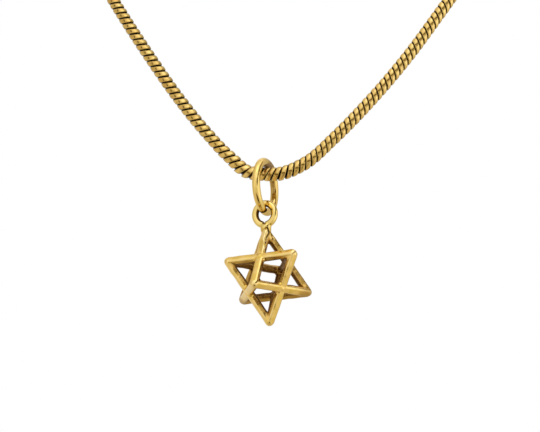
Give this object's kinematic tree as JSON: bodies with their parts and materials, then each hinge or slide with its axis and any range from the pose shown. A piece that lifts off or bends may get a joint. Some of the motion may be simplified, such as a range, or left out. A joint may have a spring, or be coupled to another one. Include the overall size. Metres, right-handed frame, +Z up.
{
  "type": "merkaba pendant on a snake chain",
  "caption": "Open wire star tetrahedron with a soldered eye, hanging from a round bail on a thick snake chain loop that a barrel clasp closes at the nape.",
  "frame": {"origin": "centre of the clasp, where the chain rests on the back of the neck", "axes": "+Z up, -Y the way the wearer faces, +X towards the wearer's left"},
  "size_m": [0.1276, 0.1143, 0.1491],
  "materials": {
    "chain_old_gold": "antique gold plate, bright on the bands and nearly black in the grooves",
    "wire_gold": "polished gold plate with a slight brown patina",
    "cast_old_gold": "lightly pitted cast surface, antique gold plate with a brown patina in the corners"
  },
  "bodies": {
    "chain": {"snake_chain": "chain_old_gold", "clasp": "wire_gold"},
    "bail": {"bail_ring": "wire_gold"},
    "pendant": {"merkaba_star": "cast_old_gold"}
  },
  "joints": [
    {"name": "bail_swing", "type": "hinge", "parent": "chain", "child": "bail", "pos_m": [-0.004, -0.104, -0.1181], "axis": [0.9834, 0, -0.1813], "range_deg": [-80, 80]},
    {"name": "pendant_swing", "type": "hinge", "parent": "bail", "child": "pendant", "pos_m": [-0.004, -0.104, -0.12523], "axis": [0, 1, 0], "range_deg": [-70, 70]}
  ]
}
